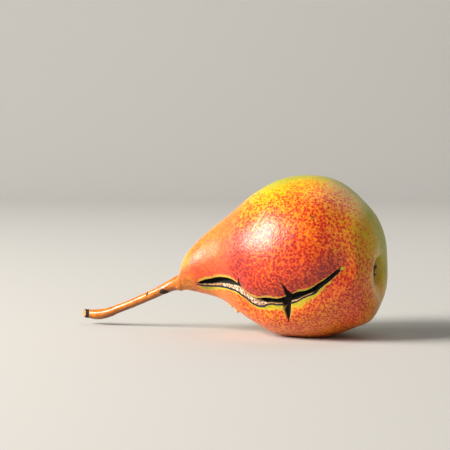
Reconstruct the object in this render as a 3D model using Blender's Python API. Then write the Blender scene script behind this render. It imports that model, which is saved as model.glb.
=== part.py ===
"""A pear lying on its side on the thick of its belly, with a healed growth crack along the front.

Metres, +Z up. +X runs along the pear from the stem's cut end toward the blossom end, and -Y is the
side with the crack. The origin lies on the floor under the middle of the bounding box. Shapes are
worked out in millimetres on the pear's own stations, which count from the end of the neck.
"""

import math

import bmesh
import bpy
from mathutils import Matrix, Vector

MM = 0.001
ROWS = 84
FREE_COLUMNS = 42

# Where the end of the neck and the middle of the belly sit.
NECK_X = -19.0
WIDEST_STATION = 53.4
LENGTH = 83.8
BELLY_RADIUS = 32.4
SINK = 0.9  # how far the belly is flattened by lying there

# Bend of the middle line, in millimetres, from the widest station to either end.
NECK_DROOP = 8.9
NECK_DROOP_POWER = 3.44
END_DROOP = 5.2
NECK_SIDEWAYS = 3.0
END_SIDEWAYS = 2.0
STEM_SIDE_DROP = 3.4  # the last of the neck turns down toward the stem
STEM_SIDE_REACH = 1.9
LEAN = 0.02

# Station and radius, from the end of the neck over the belly and into the blossom basin.
OUTLINE = [
    (0.0, 0.0),
    (0.6, 3.7),
    (3.1, 7.5),
    (9.4, 11.4),
    (20.9, 17.8),
    (32.5, 26.0),
    (42.9, 31.1),
    (53.4, 32.4),
    (63.9, 31.0),
    (73.3, 26.0),
    (80.1, 20.8),
    (83.6, 11.9),
    (83.3, 6.5),
    (81.2, 4.0),
    (80.2, 0.0),
]

# The crack: station, degrees of its upper and lower edge up from the side facing -Y, and the share of
# its width, on the upper side, that is an open gap. The rest is a shelf of healed cork.
CRACK = [
    (0.0, -38.0, -38.0, 0.5),
    (8.6, -37.2, -37.4, 0.5),
    (10.4, -35.0, -39.2, 0.5),
    (12.0, -32.2, -43.0, 0.42),
    (14.8, -30.2, -44.0, 0.53),
    (17.6, -28.8, -44.5, 0.56),
    (20.7, -25.2, -42.8, 0.56),
    (24.3, -21.2, -37.2, 0.56),
    (29.0, -19.0, -34.2, 0.48),
    (32.2, -21.5, -34.2, 0.37),
    (35.5, -26.0, -35.5, 0.24),
    (38.6, -30.8, -40.0, 0.2),
    (41.4, -31.5, -39.8, 0.25),
    (43.3, -30.8, -38.8, 0.37),
    (47.1, -29.2, -34.5, 0.6),
    (50.5, -28.8, -34.2, 0.58),
    (53.9, -26.3, -33.5, 0.5),
    (57.3, -23.8, -31.8, 0.72),
    (59.9, -22.5, -28.8, 0.76),
    (62.3, -21.0, -26.5, 0.8),
    (65.5, -17.2, -24.0, 0.72),
    (67.7, -14.0, -19.8, 0.74),
    (69.9, -10.5, -15.8, 0.88),
    (72.0, -6.2, -10.5, 0.88),
    (74.0, -1.2, -4.2, 0.9),
    (75.2, 1.4, 1.0, 0.9),
    (79.5, 5.6, 5.4, 0.9),
    (84.0, 9.0, 9.0, 0.9),
]
NARROWEST = 0.4  # half the width below which the crack fades out
SHELF_DEPTH = 0.25
SEAM_DEPTH = 0.5
GAP_LEAST_DEPTH = 0.9
GAP_DEPTH_PER_WIDTH = 1.25
GAP_MOST_DEPTH = 3.4
FRONT = math.radians(-22)  # where the crack runs on the whole
VALLEY_DEPTH = 2.4
VALLEY_REACH = 6.5

# Grooves drawn as station, degrees, half width and depth from point to point.
UPPER_ARM = [(55.6, -24.8, 1.6, 3.2), (54.75, -20.9, 0.85, 2.8), (54.2, -16.8, 0.4, 1.2), (53.7, -14.0, 0.1, 0.2)]
LOWER_ARM = [
    (54.0, -30.0, 2.3, 3.0),
    (53.9, -32.4, 2.2, 3.0),
    (54.0, -36.0, 1.75, 2.6),
    (54.0, -39.6, 1.4, 2.1),
    (53.9, -43.6, 0.75, 1.2),
    (53.7, -48.4, 0.1, 0.2),
]
NOTCH = [(33.3, -22.5, 0.75, 1.8), (33.3, -19.0, 0.45, 1.3), (33.5, -15.5, 0.1, 0.2)]
CREASE = [(33.4, -14.0, 3.0, 0.6), (32.0, -1.0, 3.2, 0.7), (30.0, 18.0, 3.2, 0.5), (30.5, 33.0, 3.2, 0.0)]

# The stem's middle line and radius, from inside its socket to beyond the cut end.
STEM = [
    (-16.0, -3.1, 21.6, 2.6),
    (-21.4, -2.8, 19.0, 2.5),
    (-26.7, -2.6, 16.5, 2.1),
    (-30.7, -2.4, 14.5, 1.95),
    (-37.0, -2.1, 11.7, 1.82),
    (-43.1, -1.8, 9.1, 1.72),
    (-48.5, -1.7, 7.0, 1.76),
    (-52.0, -1.6, 5.6, 1.95),
    (-55.8, -1.5, 4.6, 2.12),
    (-59.6, -1.4, 4.4, 1.95),
    (-63.4, -1.3, 4.7, 1.75),
    (-67.0, -1.2, 5.1, 1.75),
]
STEM_GAP = 0.3
CUT_AT = (-63.5, -1.3, 4.7)  # middle of the slanted cut face
CUT_OUT = (-1.0, -0.84, 0.0)  # the way it faces
KNOT_AT = (-26.1, -3.9, 15.6)
KNOT_RADIUS = 1.3

CALYX_RADIUS = 3.0
CALYX_ROOT = 1.6
CALYX_GAP = 0.3
SEPALS = 5


def hermite(table, value):
    """The row of numbers at this value of the table's first column, on a smooth curve."""
    at = [row[0] for row in table]
    value = min(max(value, at[0]), at[-1])
    k = max(i for i in range(len(at) - 1) if at[i] <= value)
    span = at[k + 1] - at[k]
    u = (value - at[k]) / span

    def slope(i, c):
        low, high = max(i - 1, 0), min(i + 1, len(at) - 1)
        return (table[high][c] - table[low][c]) / (at[high] - at[low])

    weights = (2 * u**3 - 3 * u**2 + 1, u**3 - 2 * u**2 + u, 3 * u**2 - 2 * u**3, u**3 - u**2)
    found = []
    for c in range(1, len(table[0])):
        ends = (table[k][c], slope(k, c) * span, table[k + 1][c], slope(k + 1, c) * span)
        found.append(sum(w * e for w, e in zip(weights, ends)))
    return found


def outline_by_chord():
    """The outline with a running parameter in front that slows down where the points are close."""
    rows = [(0.0, *OUTLINE[0])]
    for (x0, r0), (x1, r1) in zip(OUTLINE, OUTLINE[1:]):
        rows.append((rows[-1][0] + math.hypot(x1 - x0, r1 - r0) ** 0.5, x1, r1))
    return rows


def row_spacing(station):
    """Wider on the plain belly, closer where the cross gash and the notch are."""
    gash = math.exp(-(((station - 54.3) / 2.6) ** 2))
    notch = math.exp(-(((station - 33.7) / 1.8) ** 2))
    end = math.exp(-(((station - 0.5) / 2.5) ** 2))
    return 2.1 / (1 + 2.1 * gash + 2.0 * notch + 1.2 * end)


def row_places():
    """Station and radius of each row, from pole to pole."""
    chord = outline_by_chord()
    steps = 3000
    line = [hermite(chord, chord[-1][0] * i / steps) for i in range(steps + 1)]
    run = [0.0]
    for (x0, r0), (x1, r1) in zip(line, line[1:]):
        run.append(run[-1] + math.hypot(x1 - x0, r1 - r0) / row_spacing(x0))
    places = []
    k = 0
    for row in range(ROWS + 1):
        while k < steps and run[k] < run[-1] * row / ROWS:
            k += 1
        places.append((line[k][0], max(line[k][1], 0.0)))
    places[0] = OUTLINE[0]
    places[-1] = OUTLINE[-1]
    return places


def middle(station):
    """Where the middle line passes at this station."""
    before = max(WIDEST_STATION - station, 0.0) / WIDEST_STATION
    after = max(station - WIDEST_STATION, 0.0) / (LENGTH - WIDEST_STATION)
    y = -NECK_SIDEWAYS * before**2 - END_SIDEWAYS * after**2
    z = BELLY_RADIUS - SINK - NECK_DROOP * before**NECK_DROOP_POWER - END_DROOP * after**2.5
    z -= STEM_SIDE_DROP * math.exp(-((station / STEM_SIDE_REACH) ** 2))
    return Vector((NECK_X + station, y, z))


def skin(station, radius, angle):
    """The point on the smooth skin, angle 0 facing -Y and a quarter turn facing up."""
    out = Vector((LEAN * math.sin(angle), -math.cos(angle), math.sin(angle)))
    return middle(station) + radius * out


def crack_at(station, radius):
    """Middle angle in radians, half width and share of the gap of the crack at this station."""
    upper, lower, gap_share = hermite(CRACK, station)
    half = max(math.radians(upper - lower) / 2 * radius, 0.0)
    return math.radians(upper + lower) / 2, half, gap_share


def smooth_step(value):
    value = min(max(value, 0.0), 1.0)
    return value * value * (3 - 2 * value)


def across_crack(station, radius):
    """Each column's distance above the crack's middle and its depth, from below to above."""
    half, gap_share = crack_at(station, radius)[1:]
    open_share = smooth_step(half / NARROWEST)
    half = max(half, NARROWEST)
    gap = 2 * half * gap_share
    shelf = 2 * half - gap
    edge = half - gap
    deep = min(GAP_LEAST_DEPTH + GAP_DEPTH_PER_WIDTH * gap, GAP_MOST_DEPTH)
    columns = [
        (-half - 9.0, 0.0),
        (-half - 6.2, 0.0),
        (-half - 3.6, 0.0),
        (-half - 1.6, 0.0),
        (-half - 0.35, 0.0),
        (-half + 0.06 * shelf, SEAM_DEPTH),
        (-half + 0.22 * shelf, SHELF_DEPTH),
        (-half + 0.82 * shelf, SHELF_DEPTH),
        (edge + 0.08 * gap, 0.6 * deep),
        (edge + 0.3 * gap, deep),
        (edge + 0.8 * gap, deep),
        (half + 0.1, 0.3),
        (half + 0.5, 0.0),
        (half + 1.6, 0.0),
        (half + 3.4, 0.0),
        (half + 5.8, 0.0),
        (half + 8.6, 0.0),
    ]
    return [(offset, depth * open_share) for offset, depth in columns]


def angles_of_row(station, radius):
    """The angle of every column: some drawn in to the crack, the rest spread evenly to the back."""
    centre = crack_at(station, radius)[0]
    ahead = crack_at(station + 0.5, radius)[0]
    slant = math.hypot(1.0, radius * (ahead - centre) / 0.5)
    near = [centre + offset * slant / max(radius, 6.0) for offset, _ in across_crack(station, radius)]
    drawn_columns = len(near)
    half_free = FREE_COLUMNS // 2
    above, below = near[-1], near[0] + 2 * math.pi
    back = FRONT + math.pi
    near += [above + (back - above) * (i + 1) / half_free for i in range(half_free)]
    near += [back + (below - back) * (i + 1) / (half_free + 1) for i in range(half_free)]
    first = FRONT - math.pi * (drawn_columns - 1) / len(near)
    drawn = smooth_step((station - 3.0) / 6.0) * smooth_step((83.0 - station) / 6.0)
    even = [first + 2 * math.pi * i / len(near) for i in range(len(near))]
    return [even[i] + (near[i] - even[i]) * drawn for i in range(len(near))]


def groove_depth(points, station, radius, angle):
    """How deep a drawn groove is here, 0 outside it."""
    here = Vector((station, radius * angle))
    deepest = 0.0
    for (x0, a0, w0, d0), (x1, a1, w1, d1) in zip(points, points[1:]):
        start = Vector((x0, radius * math.radians(a0)))
        step = Vector((x1, radius * math.radians(a1))) - start
        u = min(max((here - start).dot(step) / step.length_squared, 0.0), 1.0)
        away = (here - start - step * u).length / (w0 + (w1 - w0) * u)
        deepest = max(deepest, (d0 + (d1 - d0) * u) * smooth_step(1.15 - away))
    return deepest


def depth_at(station, radius, angle, crack_depth):
    """How far the surface lies under the smooth skin."""
    away = (angle - crack_at(station, radius)[0]) * radius
    reach = VALLEY_REACH * (1.0 if away > 0 else 1.15)
    along = smooth_step((station - 9.0) / 12.0) * smooth_step((83.4 - station) / 7.0)
    valley = VALLEY_DEPTH * along * math.exp(-((away / reach) ** 2))
    grooves = max(groove_depth(g, station, radius, angle) for g in (UPPER_ARM, LOWER_ARM, NOTCH))
    return valley + max(crack_depth, grooves) + groove_depth(CREASE, station, radius, angle)


def new_object(name, mesh, collection):
    thing = bpy.data.objects.new(name, mesh)
    collection.objects.link(thing)
    return thing


def finish_mesh(bm, name):
    bmesh.ops.recalc_face_normals(bm, faces=bm.faces)
    mesh = bpy.data.meshes.new(name)
    bm.to_mesh(mesh)
    bm.free()
    mesh.shade_smooth()
    return mesh


def grid_sphere(columns, rows):
    """A sphere's mesh with the row and the column of each vertex."""
    bm = bmesh.new()
    bmesh.ops.create_uvsphere(bm, u_segments=columns, v_segments=rows, radius=1.0)
    spots = []
    for vert in bm.verts:
        row = round(math.acos(min(max(vert.co.z, -1.0), 1.0)) / math.pi * rows)
        column = round(math.atan2(vert.co.y, vert.co.x) / (2 * math.pi) * columns) % columns
        spots.append((vert, row, column))
    return bm, spots


def build_body(collection):
    places = row_places()
    rim = max(range(ROWS + 1), key=lambda row: places[row][0])
    angles = [angles_of_row(x, r) for x, r in places]
    depths = [[depth for _, depth in across_crack(x, r)] + [0.0] * FREE_COLUMNS for x, r in places]
    bm, spots = grid_sphere(len(angles[0]), ROWS)
    for vert, row, column in spots:
        x, r = places[row]
        angle = angles[row][column]
        inward = depth_at(x, r, angle, depths[row][column]) if 0 < row <= rim else 0.0
        point = skin(x, r - inward, angle)
        point.z = max(point.z, 0.0)
        vert.co = point * MM
    return new_object("pear_body", finish_mesh(bm, "pear_body"), collection)


def build_stem(collection):
    curve = bpy.data.curves.new("stem", "CURVE")
    curve.dimensions = "3D"
    curve.resolution_u = 4
    curve.bevel_depth = MM
    curve.bevel_resolution = 5
    curve.use_fill_caps = True
    spline = curve.splines.new("BEZIER")
    spline.bezier_points.add(len(STEM) - 1)
    for knot, (x, y, z, r) in zip(spline.bezier_points, STEM):
        knot.co = Vector((x, y, z)) * MM
        knot.radius = r
        knot.handle_left_type = "AUTO"
        knot.handle_right_type = "AUTO"
    return new_object("stem", curve, collection)


def build_knot(collection):
    """The brown scar of a bud on the stem's lower side."""
    bm = bmesh.new()
    bmesh.ops.create_uvsphere(bm, u_segments=12, v_segments=8, radius=KNOT_RADIUS * MM)
    bmesh.ops.scale(bm, vec=(1.7, 1.0, 0.85), verts=bm.verts)
    bmesh.ops.rotate(bm, matrix=Matrix.Rotation(math.radians(-25), 3, "Y"), verts=bm.verts)
    bmesh.ops.translate(bm, vec=Vector(KNOT_AT) * MM, verts=bm.verts)
    return new_object("stem_knot", finish_mesh(bm, "stem_knot"), collection)


def build_cylinder(name, start, direction, radius, length, collection):
    """A closed cylinder from start along direction, in millimetres."""
    bm = bmesh.new()
    bmesh.ops.create_cone(
        bm, cap_ends=True, segments=28, radius1=radius * MM, radius2=radius * MM, depth=length * MM
    )
    bmesh.ops.translate(bm, vec=(0, 0, length / 2 * MM), verts=bm.verts)
    turn = direction.to_track_quat("Z", "Y").to_matrix().to_4x4()
    bmesh.ops.transform(bm, matrix=Matrix.Translation(start * MM) @ turn, verts=bm.verts)
    return new_object(name, finish_mesh(bm, name), collection)


def build_calyx(collection):
    """The dried flower parts: a short cup whose rim runs out into five points."""
    cup = [
        (-CALYX_ROOT, 0.0, 0.0),
        (-CALYX_ROOT, CALYX_RADIUS, 0.0),
        (0.2, CALYX_RADIUS, 0.0),
        (0.9, 3.1, 0.5),
        (1.6, 3.7, 1.2),
        (1.75, 3.5, 1.1),
        (1.2, 2.5, 0.45),
        (0.4, 1.7, 0.0),
        (0.1, 0.0, 0.0),
    ]
    columns = SEPALS * 8
    bm, spots = grid_sphere(columns, len(cup) - 1)
    seat = middle(OUTLINE[-1][0])
    for vert, row, column in spots:
        rise, radius, lobe = cup[row]
        turn = 2 * math.pi * column / columns
        point = abs((column / 8 + 0.5) % 1.0 - 0.5) * 2
        wave = lobe * (1.0 - 2.0 * point**0.8)
        reach = radius + 0.55 * wave
        lift = rise + 0.35 * wave
        spot = Vector((lift, -reach * math.cos(turn), reach * math.sin(turn)))
        vert.co = (seat + spot) * MM
    return new_object("calyx", finish_mesh(bm, "calyx"), collection)


def build_box(name, face_middle, out, side, collection):
    """A closed cube that stands on this point, away from the pear, in millimetres."""
    bm = bmesh.new()
    bmesh.ops.create_cube(bm, size=side * MM)
    bmesh.ops.translate(bm, vec=(0, 0, side / 2 * MM), verts=bm.verts)
    turn = out.to_track_quat("Z", "Y").to_matrix().to_4x4()
    bmesh.ops.transform(bm, matrix=Matrix.Translation(face_middle * MM) @ turn, verts=bm.verts)
    return new_object(name, finish_mesh(bm, name), collection)


def boolean(thing, other, operation):
    modifier = thing.modifiers.new(f"{operation.lower()} {other.name}", "BOOLEAN")
    modifier.operation = operation
    modifier.solver = "EXACT"
    modifier.object = other


def as_mesh(thing, collection):
    """The same object with its curve turned into a mesh."""
    bpy.context.view_layer.update()
    graph = bpy.context.evaluated_depsgraph_get()
    mesh = bpy.data.meshes.new_from_object(thing.evaluated_get(graph))
    bm = bmesh.new()
    bm.from_mesh(mesh)
    bmesh.ops.remove_doubles(bm, verts=bm.verts, dist=1e-6)
    name = thing.name
    bpy.data.objects.remove(thing)
    return new_object(name, finish_mesh(bm, name), collection)


def material(name, colour, roughness):
    made = bpy.data.materials.new(name)
    made.use_nodes = True
    surface = made.node_tree.nodes["Principled BSDF"]
    surface.inputs["Base Color"].default_value = (*colour, 1.0)
    surface.inputs["Roughness"].default_value = roughness
    surface.inputs["Metallic"].default_value = 0.0
    return made


def dress(thing, name, colour, roughness):
    thing.data.materials.clear()
    thing.data.materials.append(material(name, colour, roughness))


def clear_scene():
    for thing in list(bpy.data.objects):
        bpy.data.objects.remove(thing)
    for collection in list(bpy.data.collections):
        bpy.data.collections.remove(collection)


def main():
    clear_scene()
    pear = bpy.data.collections.new("pear")
    helpers = bpy.data.collections.new("pear cutters")
    for collection in (pear, helpers):
        bpy.context.scene.collection.children.link(collection)

    body = build_body(pear)
    stem = as_mesh(build_stem(pear), pear)
    calyx = build_calyx(pear)

    root = Vector(STEM[0][:3])
    out = Vector(STEM[1][:3]) - root
    socket_start = root - out.normalized() * STEM_GAP
    socket_radius = STEM[1][3] + 0.05 + STEM_GAP
    socket = build_cylinder("stem_socket", socket_start, out, socket_radius, 12.0, helpers)
    floor = middle(OUTLINE[-1][0]) - Vector((CALYX_ROOT + CALYX_GAP, 0, 0))
    seat = build_cylinder(
        "calyx_seat", floor, Vector((1, 0, 0)), CALYX_RADIUS + CALYX_GAP, 3.0, helpers
    )
    knot = build_knot(helpers)
    cut = build_box("stem_cut", Vector(CUT_AT), Vector(CUT_OUT), 12.0, helpers)
    boolean(body, socket, "DIFFERENCE")
    boolean(body, seat, "DIFFERENCE")
    boolean(stem, knot, "UNION")
    boolean(stem, cut, "DIFFERENCE")
    for helper in (socket, seat, knot, cut):
        helper.hide_render = True
        helper.display_type = "WIRE"

    dress(body, "pear_skin", (0.55, 0.16, 0.05), 0.38)
    dress(stem, "stem_wood", (0.45, 0.2, 0.04), 0.5)
    dress(calyx, "calyx_dried", (0.12, 0.07, 0.03), 0.85)


main()
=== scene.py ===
"""The looks of a pear lying on its side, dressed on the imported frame.

Metres, in the frame's own axes: +X toward the blossom end, -Y toward the cracked side, +Z up. The
pear's own shape is worked out in millimetres on stations that count from the end of the neck.
"""

import math
import bpy
import numpy as np
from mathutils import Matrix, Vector, noise


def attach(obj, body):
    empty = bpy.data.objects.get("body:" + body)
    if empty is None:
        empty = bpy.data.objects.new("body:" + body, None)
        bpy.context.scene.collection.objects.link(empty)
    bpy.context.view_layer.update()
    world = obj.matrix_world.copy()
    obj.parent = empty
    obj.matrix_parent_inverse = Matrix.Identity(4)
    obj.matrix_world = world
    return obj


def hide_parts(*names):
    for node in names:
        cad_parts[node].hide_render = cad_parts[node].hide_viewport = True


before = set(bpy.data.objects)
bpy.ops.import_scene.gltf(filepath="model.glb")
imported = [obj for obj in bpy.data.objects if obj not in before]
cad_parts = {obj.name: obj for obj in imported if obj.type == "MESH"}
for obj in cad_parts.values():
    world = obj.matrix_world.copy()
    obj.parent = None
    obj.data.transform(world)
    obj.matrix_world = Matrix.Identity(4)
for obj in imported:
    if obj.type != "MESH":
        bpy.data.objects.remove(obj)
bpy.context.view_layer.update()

MM = 0.001

# The pear's form in millimetres, with the same values as its solids.
NECK_X = -19.0
WIDEST_STATION = 53.4
LENGTH = 83.8
BELLY_RADIUS = 32.4
SINK = 0.9
NECK_DROOP = 8.9
NECK_DROOP_POWER = 3.44
END_DROOP = 5.2
NECK_SIDEWAYS = 3.0
END_SIDEWAYS = 2.0
STEM_SIDE_DROP = 3.4
STEM_SIDE_REACH = 1.9
LEAN = 0.02
OUTLINE = [
    (0.0, 0.0),
    (0.6, 3.7),
    (3.1, 7.5),
    (9.4, 11.4),
    (20.9, 17.8),
    (32.5, 26.0),
    (42.9, 31.1),
    (53.4, 32.4),
    (63.9, 31.0),
    (73.3, 26.0),
    (80.1, 20.8),
    (83.6, 11.9),
    (83.3, 6.5),
    (81.2, 4.0),
    (80.2, 0.0),
]
VALLEY_DEPTH = 2.4
VALLEY_REACH = 6.5
FRONT = math.radians(-22)

# Along the crack: station, degrees of its upper and lower edge, share of the opening that is a gap painted
# dark as shade, and how far the yellow-green skin reaches below and above it. The edges follow the
# photograph a little more closely than those of the solids.
CRACK = [
    (0.0, -38.0, -38.0, 0.5, 0.5, 0.3),
    (8.6, -37.2, -37.4, 0.5, 0.7, 0.5),
    (10.4, -36.2, -38.2, 0.5, 1.2, 0.9),
    (12.0, -33.0, -42.2, 0.6, 2.2, 1.2),
    (14.8, -29.6, -44.8, 0.7, 2.6, 1.4),
    (17.6, -28.3, -45.2, 0.7, 2.2, 1.5),
    (20.7, -25.2, -41.4, 0.67, 1.4, 1.6),
    (24.3, -21.8, -37.2, 0.64, 0.9, 1.5),
    (29.0, -20.2, -33.9, 0.56, 0.8, 1.3),
    (32.2, -22.2, -33.3, 0.36, 0.8, 0.9),
    (35.5, -28.5, -35.9, 0.18, 0.8, 1.2),
    (38.6, -30.8, -39.7, 0.18, 0.8, 1.3),
    (41.4, -31.0, -39.6, 0.2, 1.0, 1.4),
    (43.3, -30.2, -38.4, 0.34, 1.4, 1.4),
    (45.4, -29.0, -35.8, 0.68, 2.0, 1.3),
    (47.1, -28.6, -34.6, 0.74, 2.3, 1.2),
    (50.5, -28.5, -34.4, 0.74, 2.5, 1.0),
    (53.9, -26.6, -33.3, 0.68, 2.8, 0.5),
    (57.3, -24.0, -30.8, 0.72, 3.0, 0.6),
    (59.9, -21.8, -28.3, 0.8, 2.8, 0.9),
    (62.3, -21.2, -26.0, 0.82, 2.5, 0.9),
    (65.5, -18.2, -22.8, 0.84, 2.1, 0.8),
    (67.7, -14.9, -18.2, 0.86, 1.9, 0.7),
    (69.9, -11.2, -14.0, 0.9, 1.6, 0.6),
    (72.0, -6.6, -9.2, 0.9, 1.2, 0.5),
    (74.0, -1.6, -3.4, 0.9, 0.8, 0.4),
    (75.2, 1.2, 0.8, 0.9, 0.6, 0.3),
    (79.5, 5.6, 5.4, 0.9, 0.4, 0.3),
    (84.0, 9.0, 9.0, 0.9, 0.4, 0.3),
]

# Gashes: station, degrees, half width and depth from point to point.
UPPER_ARM = [
    (55.6, -24.8, 1.6, 3.2),
    (54.75, -20.9, 0.95, 2.8),
    (54.2, -16.8, 0.4, 1.2),
    (53.7, -14.0, 0.1, 0.2),
]
LOWER_ARM = [
    (54.0, -30.0, 2.3, 3.0),
    (53.9, -32.4, 2.2, 3.0),
    (54.0, -36.0, 1.75, 2.6),
    (54.0, -39.6, 1.4, 2.1),
    (53.9, -43.6, 0.75, 1.2),
    (53.7, -48.4, 0.1, 0.2),
]
NOTCH = [(33.3, -22.8, 1.0, 1.8), (33.3, -19.0, 0.45, 1.3), (33.5, -15.5, 0.1, 0.2)]
CREASE = [
    (33.4, -14.0, 3.6, 0.5),
    (32.0, -1.0, 4.6, 0.25),
    (30.0, 18.0, 5.0, 0.08),
    (30.5, 33.0, 5.0, 0.0),
]
SCRATCH = [(40.0, 23.0, 0.24, 0.12), (44.2, 38.5, 0.2, 0.1)]

# Small spots: station and degrees, and for the crumbs under the neck also how wide each is.
PIT = (63.9, 35.0)
PIT_WIDTH = 0.9
DEAD_FLAKE = (52.5, -37.2)
FLAKE_WIDTH = 0.55
CRUMBS = [(23.6, -73.0, 0.9), (24.4, -68.0, 1.1), (26.4, -72.0, 0.9), (27.2, -68.0, 1.1)]

# The stem's middle line and radius, in millimetres along the frame's axes.
STEM = [
    (-16.0, -3.1, 21.6, 2.6),
    (-21.4, -2.8, 19.0, 2.5),
    (-26.7, -2.6, 16.5, 2.1),
    (-30.7, -2.4, 14.5, 1.95),
    (-37.0, -2.1, 11.7, 1.82),
    (-43.1, -1.8, 9.1, 1.72),
    (-48.5, -1.7, 7.0, 1.76),
    (-52.0, -1.6, 5.6, 1.95),
    (-55.8, -1.5, 4.6, 2.12),
    (-59.6, -1.4, 4.4, 1.95),
    (-61.8, -1.35, 4.6, 1.8),
    (-63.45, -1.3, 4.7, 1.75),
]
COLLAR_LENGTH = 4.0
COLLAR_REACH = 1.5
CUT_SLANT = 0.84
KNOT = (-26.1, -4.2, 15.6)
KNOT_SIZE = (1.75, 1.6, 1.15)
KNOT_HEIGHT = 0.2
NICK = (-33.9, -3.2, 14.2)
NICK_SIZE = (0.45, 1.2, 1.1)
NICK_DEPTH = 0.24
FLARE_X = -18.5
FLARE_REACH = 3.4
RING_LENGTH = 2.3

# The cut end: how far each ring lies beyond the stem's end, and its share of the radius there.
CUT_RINGS = [(0.1, 0.985), (0.18, 0.93), (0.2, 0.84), (0.1, 0.72), (0.04, 0.5), (0.08, 0.25), (0.08, 0.0)]

# The calyx: its leaves and stamens, and the rise and radius of each ring of its cup.
SEPALS = 5
SEPAL_THICKNESS = 0.22
STAMENS = 14
STAMEN_RADIUS = 0.11
CALYX_SEED = 7
CUP = [
    (-1.2, 0.0),
    (-1.2, 2.4),
    (0.2, 2.7),
    (0.75, 2.45),
    (0.85, 2.1),
    (0.5, 1.7),
    (0.15, 1.2),
    (0.1, 0.0),
]

# Millimetres by which the gap painted dark as shade is wider than its share, and the least that is left
# beside it.
GAP_MORE = 0.25
SHELF_LEAST = 0.62

# How finely the shapes are modelled. Rows run round the pear, and columns along it: those of the crack,
# so many after each knot across it, those just below and above it, and the free ones round the back.
OUTLINE_POINTS = 3000
ROW_SPACING = 0.56
ROWS = 286
FREE_COLUMNS = 220
COLUMNS_AFTER_KNOT = [2, 3, 3, 2, 2, 8, 7, 2, 3, 4, 4, 3, 3, 3]
BELOW_COLUMNS = 34
ABOVE_COLUMNS = 28
STEM_RINGS = 150
STEM_SIDES = 56
LEAF_STEPS = 14
LEAF_ACROSS = 9
THREAD_RINGS = 8
THREAD_SIDES = 6
CUP_SIDES = 40

# The floor in metres: where it starts to bend up behind the pear, how wide the bend is, how high the wall
# reaches and how far the floor runs to each side.
BEND_AT = 0.9
BEND = 0.7
BEND_STEPS = 24
WALL_TOP = 1.0
FLOOR_REACH = 4.0

# Each light's name, the side where it stands in degrees (0 is -Y, 90 is +X), its height in degrees, its
# distance and size in metres, its power and its colour.
LIGHTS = [
    ("key", -48, 30, 1.5, 0.72, 42.0, (1.0, 0.96, 0.9)),
    ("side", -74, 18, 1.5, 0.34, 8.4, (1.0, 0.96, 0.9)),
    ("fill", 60, 25, 1.4, 1.0, 0.8, (1.0, 0.97, 0.94)),
    ("back", 167, 40, 1.0, 0.5, 0.6, (1.0, 0.98, 0.95)),
    ("wall", 158, 60, 1.3, 1.2, 5.0, (1.0, 1.0, 1.0)),
]
LIGHTS_AIM = (0.02, 0.0, 0.03)
WALL_LIGHT_AIM = (-0.6, 1.6, 0.3)
SKY_SHADE = (0.95, 0.94, 0.92, 1.0)
SKY_STRENGTH = 0.17

# The photograph's frame and where in it the pear touches the table.
FRAME_SIDE = 450
TOUCH_PIXEL = (303.0, 337.0)
TOUCH_POINT = (32.575 * MM, 0.0, -SINK * MM)
CAMERA_DISTANCE = 0.75
CAMERA_TURN = math.radians(21.5)
CAMERA_RISE = math.radians(7.5)
SENSOR = 36.0
LENS = 150.0


def smooth(value):
    value = np.clip(value, 0.0, 1.0)
    return value * value * (3 - 2 * value)


def bell(value, peak, width):
    """1 where value is at the peak, falling off to either side."""
    return np.exp(-(((value - peak) / width) ** 2))


def hermite(table, value):
    """One array for each further column of the table, read at value in its first column."""
    table = np.array(table, float)
    at = table[:, 0]
    value = np.clip(value, at[0], at[-1])
    k = np.clip(np.searchsorted(at, value, side="right") - 1, 0, len(at) - 2)
    index = np.arange(len(at))
    low, high = np.maximum(index - 1, 0), np.minimum(index + 1, len(at) - 1)
    slope = (table[high, 1:] - table[low, 1:]) / (at[high] - at[low])[:, None]
    span = (at[k + 1] - at[k])[..., None]
    u = ((value - at[k]) / (at[k + 1] - at[k]))[..., None]
    found = (2 * u**3 - 3 * u**2 + 1) * table[k, 1:] + (u**3 - 2 * u**2 + u) * slope[k] * span
    found += (3 * u**2 - 2 * u**3) * table[k + 1, 1:] + (u**3 - u**2) * slope[k + 1] * span
    return np.moveaxis(found, -1, 0)


def grain(points, scale, seed):
    """Smooth noise from about -1 to 1 at each row of points."""
    flat = np.reshape(points, (-1, 3)) * scale
    values = [noise.noise(Vector((x, y, z + seed))) for x, y, z in flat.tolist()]
    return np.reshape(values, np.shape(points)[:-1])


def outline_line():
    """The outline as close points."""
    points = np.array(OUTLINE)
    step = np.hypot(*np.diff(points, axis=0).T) ** 0.5
    chord = np.concatenate([[0.0], np.cumsum(step)])
    wanted = np.linspace(0, chord[-1], OUTLINE_POINTS)
    return np.stack(hermite(np.column_stack([chord, points]), wanted), -1)


def row_spacing(station):
    """Millimetres between rows, less along the crack and least at its cross gash and its notch."""
    gash = bell(station, 54.6, 2.6)
    notch = bell(station, 33.7, 1.6)
    crack = smooth((station - 9) / 3) * smooth((78 - station) / 3)
    return ROW_SPACING / (1 + 0.45 * crack + gash + 0.9 * notch)


def row_places(line):
    """Each row's station and radius."""
    length = np.hypot(*np.diff(line, axis=0).T)
    run = np.concatenate([[0.0], np.cumsum(length / row_spacing(line[:-1, 0]))])
    wanted = np.linspace(0, run[-1], ROWS + 1)
    station = np.interp(wanted, run, line[:, 0])
    radius = np.maximum(np.interp(wanted, run, line[:, 1]), 0.0)
    radius[0] = radius[-1] = 0.0
    return station, radius


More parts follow.
